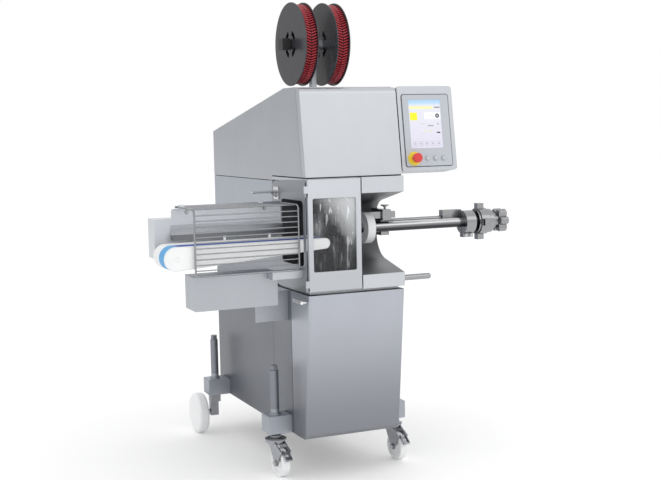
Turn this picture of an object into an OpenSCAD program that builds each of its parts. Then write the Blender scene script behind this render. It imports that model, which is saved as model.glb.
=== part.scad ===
// Automatic double clipping machine for sausage, with filling horn, discharge belt and clip spools.
// Millimetres. X runs along the product from the belt to the filling horn, Y to the back, Z up.
// The drawing frame has x = 0 at the body's left face, y = 0 at its front and z = 0 on the floor;
// machine() moves it so that the origin is at the middle of the whole machine, on the floor.

/* [Body] */
// Width of the body
body_w = 450; // [400:1:560]
// Depth of the body
body_d = 1230; // [1000:1:1500]
// Height of the cabinet's underside above the floor
cabinet_z = 190; // [190:1:260]
// Height of the cabinet's top
cabinet_top = 825; // [780:1:900]
// Height of the clipping chamber, from the shadow gap to the head
chamber_h = 477; // [460:1:560]
// Height of the head along its leaning front
head_h = 382; // [350:1:440]
// Height of the roof's back edge below its front edge
roof_drop = 178; // [100:1:220]
// Thickness of the housing sheets
sheet = 3; // [2:0.5:5]
// Backward lean of the head, in degrees
head_lean = 8; // [4:0.5:12]
// Distance that the lower cover's bottom edge stands back
cover_setback = 71; // [40:1:90]
// Depth of the lower cover's side wings
cover_wing = 211; // [180:1:214]

/* [Chamber and scoop] */
// Width of the window door, seams included
door_w = 247; // [200:1:260]
// Thickness of the window door
door_t = 18; // [16:1:24]
// Depth of the scoop's back wall
throat_y = 272; // [250:1:300]
// Height of the scoop's mouth below the head
throat_drop = 68; // [50:1:80]
// Height of the scoop's lip above the chamber's foot
throat_lip = 59; // [45:1:70]
// Radius between the scoop's ceiling and back wall
throat_r_top = 75; // [50:1:90]
// Radius between the scoop's back wall and floor
throat_r_low = 110; // [80:1:120]

/* [Filling horn] */
// Distance of the product axis behind the front
axis_y = 150; // [140:1:160]
// Height of the product axis above the chamber's foot
axis_rise = 247; // [235:1:260]
// Outer radius of the filling horn
horn_r = 22; // [16:0.5:24]
// Wall of the filling horn
horn_wall = 2.5; // [1.5:0.5:4]
// Reach of the filling horn past the body's right side
horn_reach = 598; // [480:1:700]
// Radius of the casing brake ring
brake_r = 68; // [60:1:72]

/* [Control panel] */
// Width of the panel housing
panel_w = 275; // [250:1:320]
// Depth of the panel housing
panel_d = 105; // [80:1:140]
// Width of the screen
screen_w = 158; // [140:1:170]
// Height of the screen
screen_h = 211; // [180:1:220]

/* [Discharge belt] */
// Length of the belt from its tail axis to the body
belt_reach = 550; // [450:1:650]
// Width of the belt
belt_w = 170; // [140:1:180]
// Radius of the tail drum, without the belt
drum_r = 47.5; // [40:0.5:52]
// Radius of the belt's nose, without the belt
nose_r = 20; // [14:0.5:24]
// Thickness of the belt
belt_t = 2.5; // [1.5:0.5:4]
// Number of wires in the front of the guard
guard_wires = 12; // [8:1:16]

/* [Spools] */
// Radius of the clip spools
spool_r = 180; // [140:1:190]
// Width of a clip spool
spool_w = 60; // [50:1:64]
// Gap between the two spools
spool_gap = 86; // [80:1:110]
// Radius of the spool spindle
spindle_r = 15; // [12:0.5:18]

/* [Running gear] */
// Radius of the front castor wheels
castor_r = 62.5; // [50:0.5:62.5]
// Width of the front castor wheels
castor_w = 36; // [30:1:38]
// Trail of the front castors
castor_trail = 45; // [35:1:50]
// Angle of the front castors from straight ahead
castor_yaw = 5; // [0:1:40]
// Radius of the rear wheels
rear_r = 100; // [80:1:105]
// Width of the rear wheels
rear_w = 54; // [40:1:60]
// Outer radius of the jack columns
column_r = 19; // [17:0.5:22]
// Height of the jack columns above the cabinet's underside
column_h = 278; // [240:1:320]

/* [Hidden] */
$fn = 48;

// Clearances: a shaft in its bore, a loose gap between bodies, an open seam between panels
run_fit = 0.05;
loose = 0.3;
seam = 3;
// Shadow gap under the head and beside the control panel
shadow_gap = 5;
// Overlap of a cutting body past the face that it cuts
cut = 1;

// Heights of the stacked housings
chamber_z = cabinet_top + 14;
chamber_top = chamber_z + chamber_h;
head_z = chamber_top + shadow_gap;
hood_z = chamber_top - 16;
head_y = 14;
roof_flat_y = 243;
roof_z = head_z + head_h * cos(head_lean);
hood_front = 56;
head_depth = (hood_front - head_y) * cos(head_lean) - seam;
floor_z = cabinet_z + 13;

// Product axis, belt and scoop
axis_z = chamber_z + axis_rise;
belt_top = axis_z - 26;
drum_z = belt_top - belt_t - drum_r;
nose_x = 105;
nose_z = belt_top - belt_t - nose_r;
belt_y0 = axis_y - belt_w / 2;
belt_y1 = axis_y + belt_w / 2;
scoop_x = door_w + 3;
scoop_wall = 4;
chamber_d = 405;
passage_r = brake_r + 7;
horn_x0 = scoop_x + 50;
horn_x1 = body_w + horn_reach;

// Conveyor housings beside the body
skin_x = -sheet;
housing_y = axis_y + belt_w / 2 + 65;
housing_x = -belt_reach - 25;
housing_z0 = drum_z - 20;
housing_z1 = drum_z + 147;
plate_top = housing_z1 + 42;
pivot_y = housing_y - 10;
pivot_z = plate_top + 8;
pivot_r = 5;
guard_x0 = -belt_reach + 75;
guard_x1 = -20;
guard_y = belt_y0 - 12;
guard_bend = 18;
guard_low = drum_z - 76;
wire_r = 2.5;
frame_r = 4;

// Filling horn pieces along the axis
rod_y = axis_y + 35;
rod_z = axis_z + 22;
rod_r = 10;
support_x = scoop_x + 162;
support_w = 40;
brake_x = scoop_x + 68;
brake_w = 37;
carrier_h = 30;
carrier_t = 14;
carrier_z = axis_z + brake_r - carrier_h;
clamp_x = horn_x1 - 226;
clamp_w = 50;
union_x = horn_x1 - 160;
union_w = 78;
sleeve_r = horn_r + 8;
star_w = 76;
star_x = horn_x1 - star_w - 4;

// Spools above the roof
spool_y = 300;
spool_z = roof_z + 12 + spool_r;
spool_x = 60;
stand_x = spool_x + spool_w + spool_gap / 2;
spool2_x = spool_x + spool_w + spool_gap;
flange_t = 4;
core_r = spool_r * 0.45;

// Running gear
bracket_w = 110;
bracket_d = 90;
bracket_h = 80;
front_leg_y = 231;
rear_leg_y = body_d - 148;
column_x = -63;
spindle_leg_r = 13;
head_plate_z = cabinet_z - 25;
fork_gap = castor_w + 4;
fork_t = 5;
axle_r = 6;
rear_axle_r = 12;
wheel_axis = [-castor_trail, castor_r];
pedal_slope = 40;
pedal_axis = wheel_axis + (castor_r + 10) * [-sin(pedal_slope), cos(pedal_slope)];
pedal_pin_r = 3;

// Middle of the whole machine, which is the origin
mid_x = (horn_x1 - belt_reach - drum_r - belt_t) / 2;
mid_y = (body_d - 20) / 2;

// Shared shapes

module machine() {
    translate([-mid_x, -mid_y, 0]) children();
}

// Repeats its children mirrored onto the body's right side
module right_side() {
    translate([body_w, 0, 0]) mirror([1, 0, 0]) children();
}

// Rectangle with round corners, its lower left corner at the origin
module round_rect(w, h, r) {
    translate([r, 0]) square([w - 2 * r, h]);
    translate([0, r]) square([w, h - 2 * r]);
    for (x = [r, w - r], y = [r, h - r]) translate([x, y]) circle(r);
}

// Outline in Y and Z, extruded along X
module along_x(x0, x1) {
    translate([x0, 0, 0]) rotate([90, 0, 90]) linear_extrude(x1 - x0) children();
}

// Outline in X and Z, extruded along Y
module along_y(y0, y1) {
    translate([0, y1, 0]) rotate([90, 0, 0]) linear_extrude(y1 - y0) children();
}

// Box between two corners
module box(a, b) {
    translate(a) cube(b - a);
}

// Round bar along X, Y or Z through a point
module bar_x(x0, x1, y, z, r) {
    translate([x0, y, z]) rotate([0, 90, 0]) cylinder(h = x1 - x0, r = r);
}

module bar_y(y0, y1, x, z, r) {
    translate([x, y1, z]) rotate([90, 0, 0]) cylinder(h = y1 - y0, r = r);
}

module bar_z(z0, z1, x, y, r) {
    translate([x, y, z0]) cylinder(h = z1 - z0, r = r);
}

// Stands on the head's leaning front: x along the front, y into the machine, z up the slope
module on_head() {
    translate([0, head_y, head_z]) rotate([-head_lean, 0, 0]) children();
}

// Point on the circle around c
function on_circle(c, r, a) = c + r * [cos(a), sin(a)];

// Lower housing

module corner_posts(y, top) {
    post = 40;
    for (x = [sheet, body_w - sheet - post]) {
        translate([x, y, floor_z]) difference() {
            cube([post, post, top - floor_z]);
            translate([sheet, sheet, -cut])
                cube([post - 2 * sheet, post - 2 * sheet, top - floor_z - sheet]);
        }
    }
}

// Front left corner that the lower cover's wing sweeps through when it swings open
module wing_sweep() {
    reach = cover_hinge.x - sheet - 3;
    difference() {
        box([-cut, -cut, cabinet_z], [body_w / 2, cover_hinge.y, cabinet_top + cut]);
        bar_z(cabinet_z - cut, cabinet_top + 2 * cut, cover_hinge.x, cover_hinge.y, reach);
    }
}

// Welded skeleton: floor plate, six hollow posts, the deck under the chamber and the hood's rim
module base_frame() {
    plate = 6;
    rim = 40;
    side = sheet + 1;
    rim_y = chamber_d + 5;
    rim_z = hood_z + 4;
    inside_w = body_w - 2 * sheet;
    machine() color("dimgray") {
        difference() {
            union() {
                box([side, cover_setback + 14, floor_z - plate], [body_w - side, body_d - sheet, floor_z]);
                box([side, 20, cabinet_top - plate], [body_w - side, rim_y + rim, cabinet_top]);
            }
            wing_sweep();
        }
        corner_posts(cover_wing + 14, cabinet_top - plate);
        corner_posts(rim_y, rim_z);
        corner_posts(body_d - sheet - rim, rim_z);
        difference() {
            box([sheet, rim_y, rim_z], [body_w - sheet, body_d - sheet, rim_z + plate]);
            translate([sheet + rim, rim_y + rim, rim_z - cut])
                cube([inside_w - 2 * rim, body_d - rim_y - sheet - 2 * rim, plate + 2 * cut]);
        }
    }
}

// Outline of a side panel, stepped down in front under the chamber
module side_outline() {
    front = cover_wing + 4;
    polygon([
        [front, cabinet_z], [body_d, cabinet_z], [body_d, hood_z - seam],
        [chamber_d + seam, hood_z - seam], [chamber_d + seam, cabinet_top], [front, cabinet_top]
    ]);
}

// Hinge of the lower cover, on the right side panel's front edge
cover_hinge = [body_w + 6, cover_wing + 2];
cover_hinge_r = 6;
cover_pin_r = 3.5;
cover_knuckle_h = 28;
cover_knuckles = [cabinet_z + 120, cabinet_top - 120];

module cover_lug(z) {
    lug_h = 16;
    bar_z(z - lug_h, z, cover_hinge.x, cover_hinge.y, cover_hinge_r);
    bar_z(z - lug_h, z + cover_knuckle_h, cover_hinge.x, cover_hinge.y, cover_pin_r);
    box([body_w, cover_hinge.y, z - lug_h], [cover_hinge.x, cover_hinge.y + 16, z]);
}

// Left, right and back sheets of the body; the right one carries the lower cover's hinge pins
module body_panels() {
    groove = 1;
    groove_y = chamber_d + 28;
    groove_z = cabinet_z + 200;
    machine() color("silver") {
        for (x = [0, body_w - sheet]) difference() {
            along_x(x, x + sheet) side_outline();
            translate([x == 0 ? -cut : x + sheet - groove, groove_y, groove_z])
                cube([groove + cut, seam, cabinet_top - groove_z]);
        }
        for (z = cover_knuckles) cover_lug(z);
        box([sheet, body_d - sheet, cabinet_z], [body_w - sheet, body_d, hood_z - seam]);
    }
}

// Box bracket, open below, with the jack column welded through it and the jack screw's hexagon on top
module jack_bracket(y) {
    wall = 6;
    column_y = y + bracket_d / 2;
    column_top = cabinet_z + column_h;
    hex_r = 16;
    hex_h = 22;
    difference() {
        union() {
            along_y(y, y + bracket_d) translate([-bracket_w, cabinet_z])
                round_rect(bracket_w, bracket_h, 6);
            bar_z(cabinet_z, column_top, column_x, column_y, column_r);
            bar_z(cabinet_z + bracket_h, cabinet_z + bracket_h + 8, column_x, column_y, column_r + 6);
            translate([column_x, column_y, column_top]) cylinder(h = hex_h, r = hex_r, $fn = 6);
        }
        difference() {
            box([-bracket_w + wall, y + wall, cabinet_z - cut],
                [-wall, y + bracket_d - wall, cabinet_z + bracket_h - wall]);
            bar_z(cabinet_z, column_top, column_x, column_y, column_r);
        }
        bar_z(cabinet_z - cut, column_top - 6, column_x, column_y, spindle_leg_r + run_fit);
    }
}

module jack_brackets() {
    machine() color("silver") for (y = [front_leg_y, rear_leg_y]) {
        jack_bracket(y);
        right_side() jack_bracket(y);
    }
}

// The leaning block that the lower cover is folded round, smaller by an inset; its lower front edge is round
module cover_block(inset) {
    height = cabinet_top - cabinet_z;
    lean = atan(cover_setback / height);
    fold = 12;
    roll_r = 28;
    roll = [cover_setback * (height - roll_r) / height + roll_r / cos(lean), cabinet_z + roll_r];
    over = inset == 0 ? 0 : cut;
    difference() {
        intersection() {
            translate([inset, inset / cos(lean), cabinet_top]) rotate([lean, 0, 0])
                translate([0, 0, -height - 60]) linear_extrude(height + 120)
                    round_rect(body_w - 2 * inset, 500, fold - inset);
            box([0, -cut, cabinet_z + inset], [body_w, cover_wing + over, cabinet_top + over]);
        }
        along_x(-cut, body_w + cut) difference() {
            polygon([
                roll, on_circle(roll, 2 * roll_r, 180 + lean), roll - [2 * roll_r, 2 * roll_r],
                roll - [0, 2 * roll_r]
            ]);
            translate(roll) circle(roll_r - inset);
        }
    }
}

// Folded front cover with two side wings and a lip below, hung on the right
module lower_cover() {
    lip = 40;
    machine() color("gainsboro") {
        difference() {
            cover_block(0);
            cover_block(sheet);
            box([sheet, cover_setback + lip, cabinet_z - cut],
                [body_w - sheet, cover_wing + cut, cabinet_z + sheet + cut]);
        }
        for (z = cover_knuckles) difference() {
            union() {
                bar_z(z + loose, z + cover_knuckle_h, cover_hinge.x, cover_hinge.y, cover_hinge_r);
                box([body_w, cover_hinge.y - 20, z + loose],
                    [cover_hinge.x, cover_hinge.y, z + cover_knuckle_h]);
            }
            bar_z(z, z + cover_knuckle_h + cut, cover_hinge.x, cover_hinge.y, cover_pin_r + run_fit);
        }
    }
}

module cover_handle() {
    handle_r = 7;
    stand_off = 26;
    z = cabinet_top - 29;
    y0 = 22;
    y1 = 116;
    machine() color("white") {
        bar_y(y0, y1, -stand_off, z, handle_r);
        for (y = [y0 + handle_r, y1 - handle_r]) {
            bar_x(-stand_off, 0, y, z, handle_r - 2);
        }
    }
}

// Chamber and scoop

// The scoop's section: sloping ceiling, round corners and sloping floor, grown by g all round
module throat(g) {
    ceil_z = chamber_top - throat_drop + g;
    lip_z = chamber_z + throat_lip - g;
    slope = 12.6;
    back = throat_y + g;
    r_top = throat_r_top + g;
    r_low = throat_r_low + g;
    c_top = [back - r_top, ceil_z - tan(slope) * (back - r_top) - r_top / cos(slope)];
    c_low = [back - r_low, lip_z + tan(slope) * (back - r_low) + r_low / cos(slope)];
    mouth = -10;
    polygon([
        [mouth, ceil_z - tan(slope) * mouth],
        on_circle(c_top, r_top, 90 - slope),
        on_circle(c_top, r_top, 0),
        on_circle(c_low, r_low, 0),
        on_circle(c_low, r_low, slope - 90),
        [mouth, lip_z + tan(slope) * mouth]
    ]);
    translate(c_top) circle(r_top);
    translate(c_low) circle(r_low);
}

// Clipping chamber on the left and the open scoop on the right, on a recessed foot
module chamber_housing() {
    wall = 14;
    foot = 15;
    machine() color("silver") {
        difference() {
            box([0, 20, chamber_z], [scoop_x + scoop_wall, chamber_d, chamber_top]);
            box([-cut, 20 - cut, chamber_z + wall],
                [scoop_x, chamber_d - wall, chamber_top - wall]);
            bar_x(scoop_x - cut, scoop_x + scoop_wall + cut, axis_y, axis_z, passage_r);
        }
        difference() {
            along_x(scoop_x, body_w) difference() {
                translate([0, chamber_z]) square([chamber_d, chamber_h]);
                throat(0);
            }
            along_x(scoop_x + scoop_wall, body_w - scoop_wall) difference() {
                translate([scoop_wall, chamber_z + scoop_wall])
                    square([chamber_d, chamber_h - 2 * scoop_wall]);
                throat(scoop_wall);
            }
        }
        box([foot, 20 + foot, cabinet_top], [body_w - foot, chamber_d - foot, chamber_z]);
    }
}

// Left side skin with the product's way out and the door's two hinge lugs
module chamber_panel() {
    corner = 45;
    exit_y0 = 45;
    exit_y1 = belt_y1 + 60;
    exit_z0 = axis_z - 140;
    exit_z1 = axis_z + 137;
    machine() color("silver") {
        along_x(skin_x, 0) difference() {
            union() {
                polygon([
                    [20, chamber_z], [chamber_d, chamber_z], [chamber_d, hood_z - corner],
                    [chamber_d - corner, hood_z], [20, chamber_top - seam]
                ]);
                translate([chamber_d - corner, hood_z - corner]) intersection() {
                    circle(corner);
                    square(corner);
                }
            }
            translate([exit_y0, exit_z0]) round_rect(exit_y1 - exit_y0, exit_z1 - exit_z0, 20);
        }
        for (z = [door_knuckle_low, door_knuckle_high]) hinge_lug(z);
    }
}

// Door hinge on the left edge: lugs with pins carry the door's two knuckles
hinge_x = -7;
hinge_y = 7;
hinge_r = 6.5;
hinge_pin_r = 4;
knuckle_h = 30;
door_knuckle_low = chamber_z + 20;
door_knuckle_high = chamber_top - 60;

module hinge_lug(z) {
    lug_h = 16;
    bar_z(z - lug_h, z, hinge_x, hinge_y, hinge_r);
    bar_z(z - lug_h, z + knuckle_h - 2, hinge_x, hinge_y, hinge_pin_r);
    box([hinge_x - 3, hinge_y, z - lug_h], [0, 20, z]);
    box([skin_x, 19, z - lug_h], [0, 30, z]);
}

window_x0 = 23;
window_x1 = door_w - 25;
window_z0 = chamber_z + 85;
window_z1 = chamber_top - 82;
pane_edge = 7;
pane_t = 5;

module window_door() {
    machine() color("gainsboro") difference() {
        union() {
            along_y(0, door_t) translate([2, chamber_z + seam])
                round_rect(door_w - 4, chamber_h - 2 * seam, 3);
            for (z = [door_knuckle_low, door_knuckle_high]) {
                bar_z(z + loose, z + knuckle_h, hinge_x, hinge_y, hinge_r);
                box([hinge_x, hinge_y - hinge_r, z + loose], [4, hinge_y, z + knuckle_h]);
            }
        }
        along_y(-cut, door_t + cut) translate([window_x0, window_z0])
            round_rect(window_x1 - window_x0, window_z1 - window_z0, 8);
        along_y(door_t - pane_t - 4, door_t + cut)
            translate([window_x0 - pane_edge, window_z0 - pane_edge])
                round_rect(window_x1 - window_x0 + 2 * pane_edge, window_z1 - window_z0 + 2 * pane_edge, 8);
        for (z = [door_knuckle_low, door_knuckle_high]) {
            bar_z(z - cut, z + knuckle_h + cut, hinge_x, hinge_y, hinge_pin_r + run_fit);
        }
    }
}

module window_pane() {
    machine() color("lightcyan", 0.3) along_y(door_t - pane_t - 4, door_t - 4)
        translate([window_x0 - pane_edge, window_z0 - pane_edge])
            round_rect(window_x1 - window_x0 + 2 * pane_edge, window_z1 - window_z0 + 2 * pane_edge, 8);
}

// Upper housing

// The hood's side outline, smaller by an inset and open below and in front
module hood_outline(inset) {
    front_shift = head_h * sin(head_lean);
    low = inset == 0 ? 0 : 40;
    open = inset == 0 ? 0 : 60;
    polygon([
        [hood_front - open, head_z - low], [chamber_d, head_z - low], [chamber_d, hood_z - low],
        [body_d - inset, hood_z - low], [body_d - inset, roof_z - roof_drop - inset],
        [roof_flat_y, roof_z - inset], [hood_front + front_shift - open, roof_z - inset]
    ]);
}

// Sheet hood with two inner strips that the head cover slips over
module upper_housing() {
    strip = 30;
    machine() color("silver") {
        difference() {
            along_x(0, body_w) hood_outline(0);
            along_x(sheet, body_w - sheet) hood_outline(sheet);
        }
        head_strip(strip);
        right_side() head_strip(strip);
    }
}

module head_strip(strip) {
    on_head() box([sheet, head_depth - strip, 30], [2 * sheet, head_depth + strip, head_h - 40]);
}

// Leaning front cover of the head, rounded over at the top
module head_cover() {
    top_r = 28;
    machine() color("gainsboro") intersection() {
        on_head() difference() {
            head_block(0, head_depth, top_r);
            head_block(sheet, head_depth + cut, top_r - sheet);
        }
        box([-cut, -100, head_z], [body_w + cut, 300, roof_z + 10]);
    }
}

module head_block(inset, depth, r) {
    along_x(inset, body_w - inset) {
        difference() {
            translate([inset, -20]) square([depth - inset, head_h + 20 - inset]);
            translate([inset - cut, head_h - inset - r]) square([r + cut, r + cut]);
        }
        intersection() {
            translate([inset + r, head_h - inset - r]) circle(r);
            translate([inset, head_h - inset - r]) square(r);
        }
    }
}

// Control panel

panel_low = 12;
bezel_x0 = body_w + 26;
bezel_x1 = body_w + panel_w - 23;
bezel_low = 32;
bezel_high = head_h - 38;
bezel_t = 3;
screen_x = body_w + 55;
screen_low = 110;
controls_z = 65;
estop_x = body_w + 64;
button_x = [for (i = [0:2]) body_w + 129 + 39.5 * i];
estop_stem_r = 11;
button_r = 9;

// Sheet box on a narrower spacer beside the head
module panel_housing() {
    r = 14;
    left = body_w + shadow_gap;
    width = panel_w - shadow_gap;
    spacer = 25;
    machine() color("silver") on_head() difference() {
        union() {
            along_y(0, panel_d) translate([left, panel_low]) round_rect(width, head_h - panel_low, r);
            box([body_w, spacer, panel_low + spacer], [left + cut, panel_d - spacer, head_h - spacer]);
        }
        along_y(sheet, panel_d - sheet) translate([left + sheet, panel_low + sheet])
            round_rect(width - 2 * sheet, head_h - panel_low - 2 * sheet, r - sheet);
        bar_y(-cut, sheet + cut, estop_x, controls_z, estop_stem_r + 1);
        for (x = button_x) bar_y(-cut, sheet + cut, x, controls_z, button_r + 1);
        along_y(panel_d - sheet - cut, panel_d + cut) translate([body_w + 60, panel_low + 60])
            square([panel_w - 120, head_h - panel_low - 120]);
    }
}

// Front frame of the panel with the screen's window and raised rings round the push buttons
module panel_bezel() {
    machine() color("lightgray") on_head() difference() {
        union() {
            along_y(-bezel_t, 0) translate([bezel_x0, bezel_low])
                round_rect(bezel_x1 - bezel_x0, bezel_high - bezel_low, 8);
            for (x = button_x) bar_y(-bezel_t - 3, 0, x, controls_z, button_r + 3);
        }
        along_y(-bezel_t - cut, cut) translate([screen_x, screen_low]) square([screen_w, screen_h]);
        bar_y(-bezel_t - cut, cut, estop_x, controls_z, estop_stem_r + loose);
        for (x = button_x) bar_y(-bezel_t - 4, cut, x, controls_z, button_r + loose);
    }
}

module panel_screen() {
    machine() color("lavender") on_head() along_y(-bezel_t + 1, 0)
        translate([screen_x, screen_low]) square([screen_w, screen_h]);
}

module estop_collar() {
    machine() color("gold") on_head() difference() {
        bar_y(-bezel_t - 5, -bezel_t, estop_x, controls_z, 30);
        bar_y(-bezel_t - 6, -bezel_t + cut, estop_x, controls_z, estop_stem_r + loose);
    }
}

// Mushroom head on a stem, turned about the pressing direction
module estop_button() {
    head_r = 21;
    reach = 44;
    machine() color("red") on_head() translate([estop_x, 0, controls_z]) rotate([90, 0, 0])
        rotate_extrude() {
            translate([0, -10]) square([estop_stem_r, 10 + reach - 14]);
            translate([0, reach - 18]) square([head_r - 4, 18]);
            translate([0, reach - 14]) square([head_r, 10]);
            translate([head_r - 4, reach - 14]) circle(4);
            translate([head_r - 4, reach - 4]) circle(4);
        }
}

module push_button(x) {
    machine() color("silver") on_head() bar_y(-bezel_t - 6, 14, x, controls_z, button_r);
}

module button_left() {
    push_button(button_x[0]);
}

module button_middle() {
    push_button(button_x[1]);
}

module button_right() {
    push_button(button_x[2]);
}

// Clip spools

spindle_x0 = spool_x - 40;
spindle_x1 = spool2_x + spool_w + 14;

// Post on the roof with the spindle through its head, a shoulder beside each spool
module spool_stand() {
    post_w = 22;
    post_d = 34;
    shoulder_r = spindle_r + 8;
    machine() color("silver") {
        difference() {
            union() {
                box([stand_x - post_w / 2, spool_y - post_d / 2, roof_z - roof_drop],
                    [stand_x + post_w / 2, spool_y + post_d / 2, spool_z]);
                bar_x(stand_x - post_w / 2, stand_x + post_w / 2, spool_y, spool_z, post_d / 2);
                box([stand_x - 36, spool_y - 45, roof_z - roof_drop],
                    [stand_x + 36, spool_y + 45, roof_z - 2]);
            }
            along_x(-cut, body_w + cut) hood_outline(0);
        }
        bar_x(spindle_x0, spindle_x1, spool_y, spool_z, spindle_r);
        bar_x(spool_x + spool_w + loose, spool2_x - loose, spool_y, spool_z, shoulder_r);
        bar_x(spool2_x + spool_w + loose, spindle_x1, spool_y, spool_z, shoulder_r);
    }
}

// Black block with a round collar that holds the left spool on the spindle
module spool_knob() {
    knob_w = 50;
    knob_x0 = spool_x - 46;
    machine() color("black") difference() {
        union() {
            bar_x(knob_x0, spool_x - loose, spool_y, spool_z, knob_w / 2 - 3);
            along_x(knob_x0, spool_x - 10) translate([spool_y - knob_w / 2, spool_z - knob_w / 2])
                round_rect(knob_w, knob_w, 6);
        }
        bar_x(spindle_x0, spool_x, spool_y, spool_z, spindle_r + run_fit);
    }
}

// Two flanges with curved slots on a hollow core
module spool(x) {
    slots = 4;
    slot_in = spool_r * 0.22;
    slot_out = spool_r * 0.34;
    machine() color("dimgray") difference() {
        union() {
            for (fx = [x, x + spool_w - flange_t]) bar_x(fx, fx + flange_t, spool_y, spool_z, spool_r);
            bar_x(x, x + spool_w, spool_y, spool_z, core_r);
        }
        bar_x(x + flange_t, x + spool_w - flange_t, spool_y, spool_z, core_r - 4);
        bar_x(x - cut, x + spool_w + cut, spool_y, spool_z, spindle_r + run_fit);
        for (i = [0:slots - 1]) translate([x - cut, spool_y, spool_z]) rotate([i * 360 / slots + 20, 0, 0])
            rotate([0, 90, 0]) rotate_extrude(angle = 50) translate([slot_in, 0])
                square([slot_out - slot_in, spool_w + 2 * cut]);
    }
}

module spool_left() {
    spool(spool_x);
}

module spool_right() {
    spool(spool2_x);
}

// Coil of clip strip between the flanges
module winding(x) {
    machine() color("firebrick") difference() {
        bar_x(x + flange_t + loose, x + spool_w - flange_t - loose, spool_y, spool_z, spool_r - 8);
        bar_x(x, x + spool_w, spool_y, spool_z, core_r + loose);
    }
}

module winding_left() {
    winding(spool_x);
}

module winding_right() {
    winding(spool2_x);
}

// Discharge belt

// Two clips on the back plate carry the guard's pivot rod
clip_x = [-belt_reach + 94, -104];
clip_w = 22;

module guard_clip() {
    half = clip_w / 2;
    box([-half, pivot_y, pivot_z - 18], [half, housing_y + cut, pivot_z + 6]);
    bar_x(-half, half, pivot_y, pivot_z, pivot_r + 4);
}

// Sheet housing behind the belt with the back plate above it
module conveyor_housing() {
    boss_r = 24;
    machine() color("silver") difference() {
        union() {
            difference() {
                box([housing_x, housing_y, housing_z0], [skin_x, housing_y + 100, housing_z1]);
                box([housing_x + sheet, housing_y + sheet, housing_z0 + sheet],
                    [skin_x + cut, housing_y + 100 - sheet, housing_z1 - sheet]);
            }
            along_y(housing_y, housing_y + sheet) translate([-belt_reach + 50, housing_z1 - 15])
                round_rect(belt_reach - 50 + skin_x, plate_top - housing_z1 + 15, 12);
            bar_y(housing_y - 12, housing_y + sheet, -belt_reach, drum_z, boss_r);
            for (x = clip_x) {
                translate([x, 0, 0]) guard_clip();
            }
        }
        bar_y(housing_y - 20, housing_y + sheet + cut, -belt_reach, drum_z, drum_shaft_r + run_fit);
        for (x = clip_x) {
            bar_x(x - clip_w, x + clip_w, pivot_y, pivot_z, pivot_r + run_fit);
        }
    }
}

// Closed box under the belt on a bracket plate from the cabinet's side
module conveyor_box() {
    box_x0 = guard_x0 + 12;
    box_x1 = -95;
    box_y1 = box_y0 + 130;
    box_z0 = cabinet_top - 45;
    box_z1 = guard_low - 9;
    plate = 6;
    machine() color("silver") {
        difference() {
            along_y(box_y0, box_y1) translate([box_x0, box_z0])
                round_rect(box_x1 - box_x0, box_z1 - box_z0, 4);
            along_y(box_y0 + sheet, box_y1 - sheet) translate([box_x0 + sheet, box_z0 + sheet])
                square([box_x1 - box_x0, box_z1 - box_z0 - 2 * sheet]);
        }
        box([box_x1 - 55, box_y1, box_z0 - 90], [0, box_y1 + plate, cabinet_top - 5]);
    }
}

drum_shaft_r = 12;
bed_t = 8;
box_y0 = guard_y + 67;

// Outline of the loop round the tail drum and the nose, a given distance outside them
module loop_outline(g) {
    hull() {
        translate([-belt_reach, drum_z]) circle(drum_r + g, $fn = 96);
        translate([nose_x, nose_z]) circle(nose_r + g, $fn = 48);
    }
}

// Endless belt over the drum and the nose
module conveyor_belt() {
    machine() color("white") along_y(belt_y0, belt_y1) difference() {
        loop_outline(belt_t);
        loop_outline(loose);
    }
}

// White bed inside the belt: two side plates, slider and nose bar, with arms to the housing
module belt_bed() {
    near = belt_y0 + 1;
    far = belt_y1 - 1;
    slider = 6;
    post_r = 6;
    arm_z = nose_z - 30;
    machine() color("white") difference() {
        union() {
            for (y = [near, far - bed_t]) along_y(y, y + bed_t) loop_outline(0);
            along_y(near, far) intersection() {
                loop_outline(0);
                translate([-belt_reach + drum_r + 8, belt_top - belt_t - slider])
                    square([belt_reach * 2, slider]);
            }
            along_y(near, far) translate([nose_x, nose_z]) circle(nose_r);
            for (x = [guard_x0 + 30, -120]) {
                box([x, far - cut, arm_z], [x + 40, housing_y, arm_z + 24]);
            }
            for (x = [-belt_reach + 265, -80]) {
                bar_z(arm_z + 30, belt_top + 18, x, belt_y1 + post_r + 1, post_r);
                box([x - post_r, far - cut, arm_z + 30], [x + post_r, belt_y1 + post_r, arm_z + 36]);
            }
        }
        bar_y(near - cut, far + cut, -belt_reach, drum_z, drum_shaft_r + run_fit);
    }
}

// Drum at the belt's tail, driven through the housing
module tail_drum() {
    machine() color("lightgray") {
        bar_y(belt_y0 + bed_t + 2, belt_y1 - bed_t - 2, -belt_reach, drum_z, drum_r - loose);
        bar_y(belt_y0 + 2, housing_y + 12, -belt_reach, drum_z, drum_shaft_r);
    }
}

// Sloping sheet that keeps the product on the belt, closed by a folded end
module belt_guide() {
    thick = 2;
    low_y = belt_y1 + 16;
    low_z = belt_top + 8;
    high_z = belt_top + 56;
    end_x = guard_x0 - 30;
    machine() color("silver") {
        along_x(end_x, skin_x) polygon([
            [low_y, low_z], [low_y + thick, low_z], [housing_y, high_z - 4],
            [housing_y, high_z + 14], [housing_y - thick, high_z + 14], [housing_y - thick, high_z]
        ]);
        along_x(end_x, end_x + thick) polygon([
            [low_y, low_z], [housing_y, low_z], [housing_y, high_z], [housing_y - thick, high_z]
        ]);
    }
}

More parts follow.
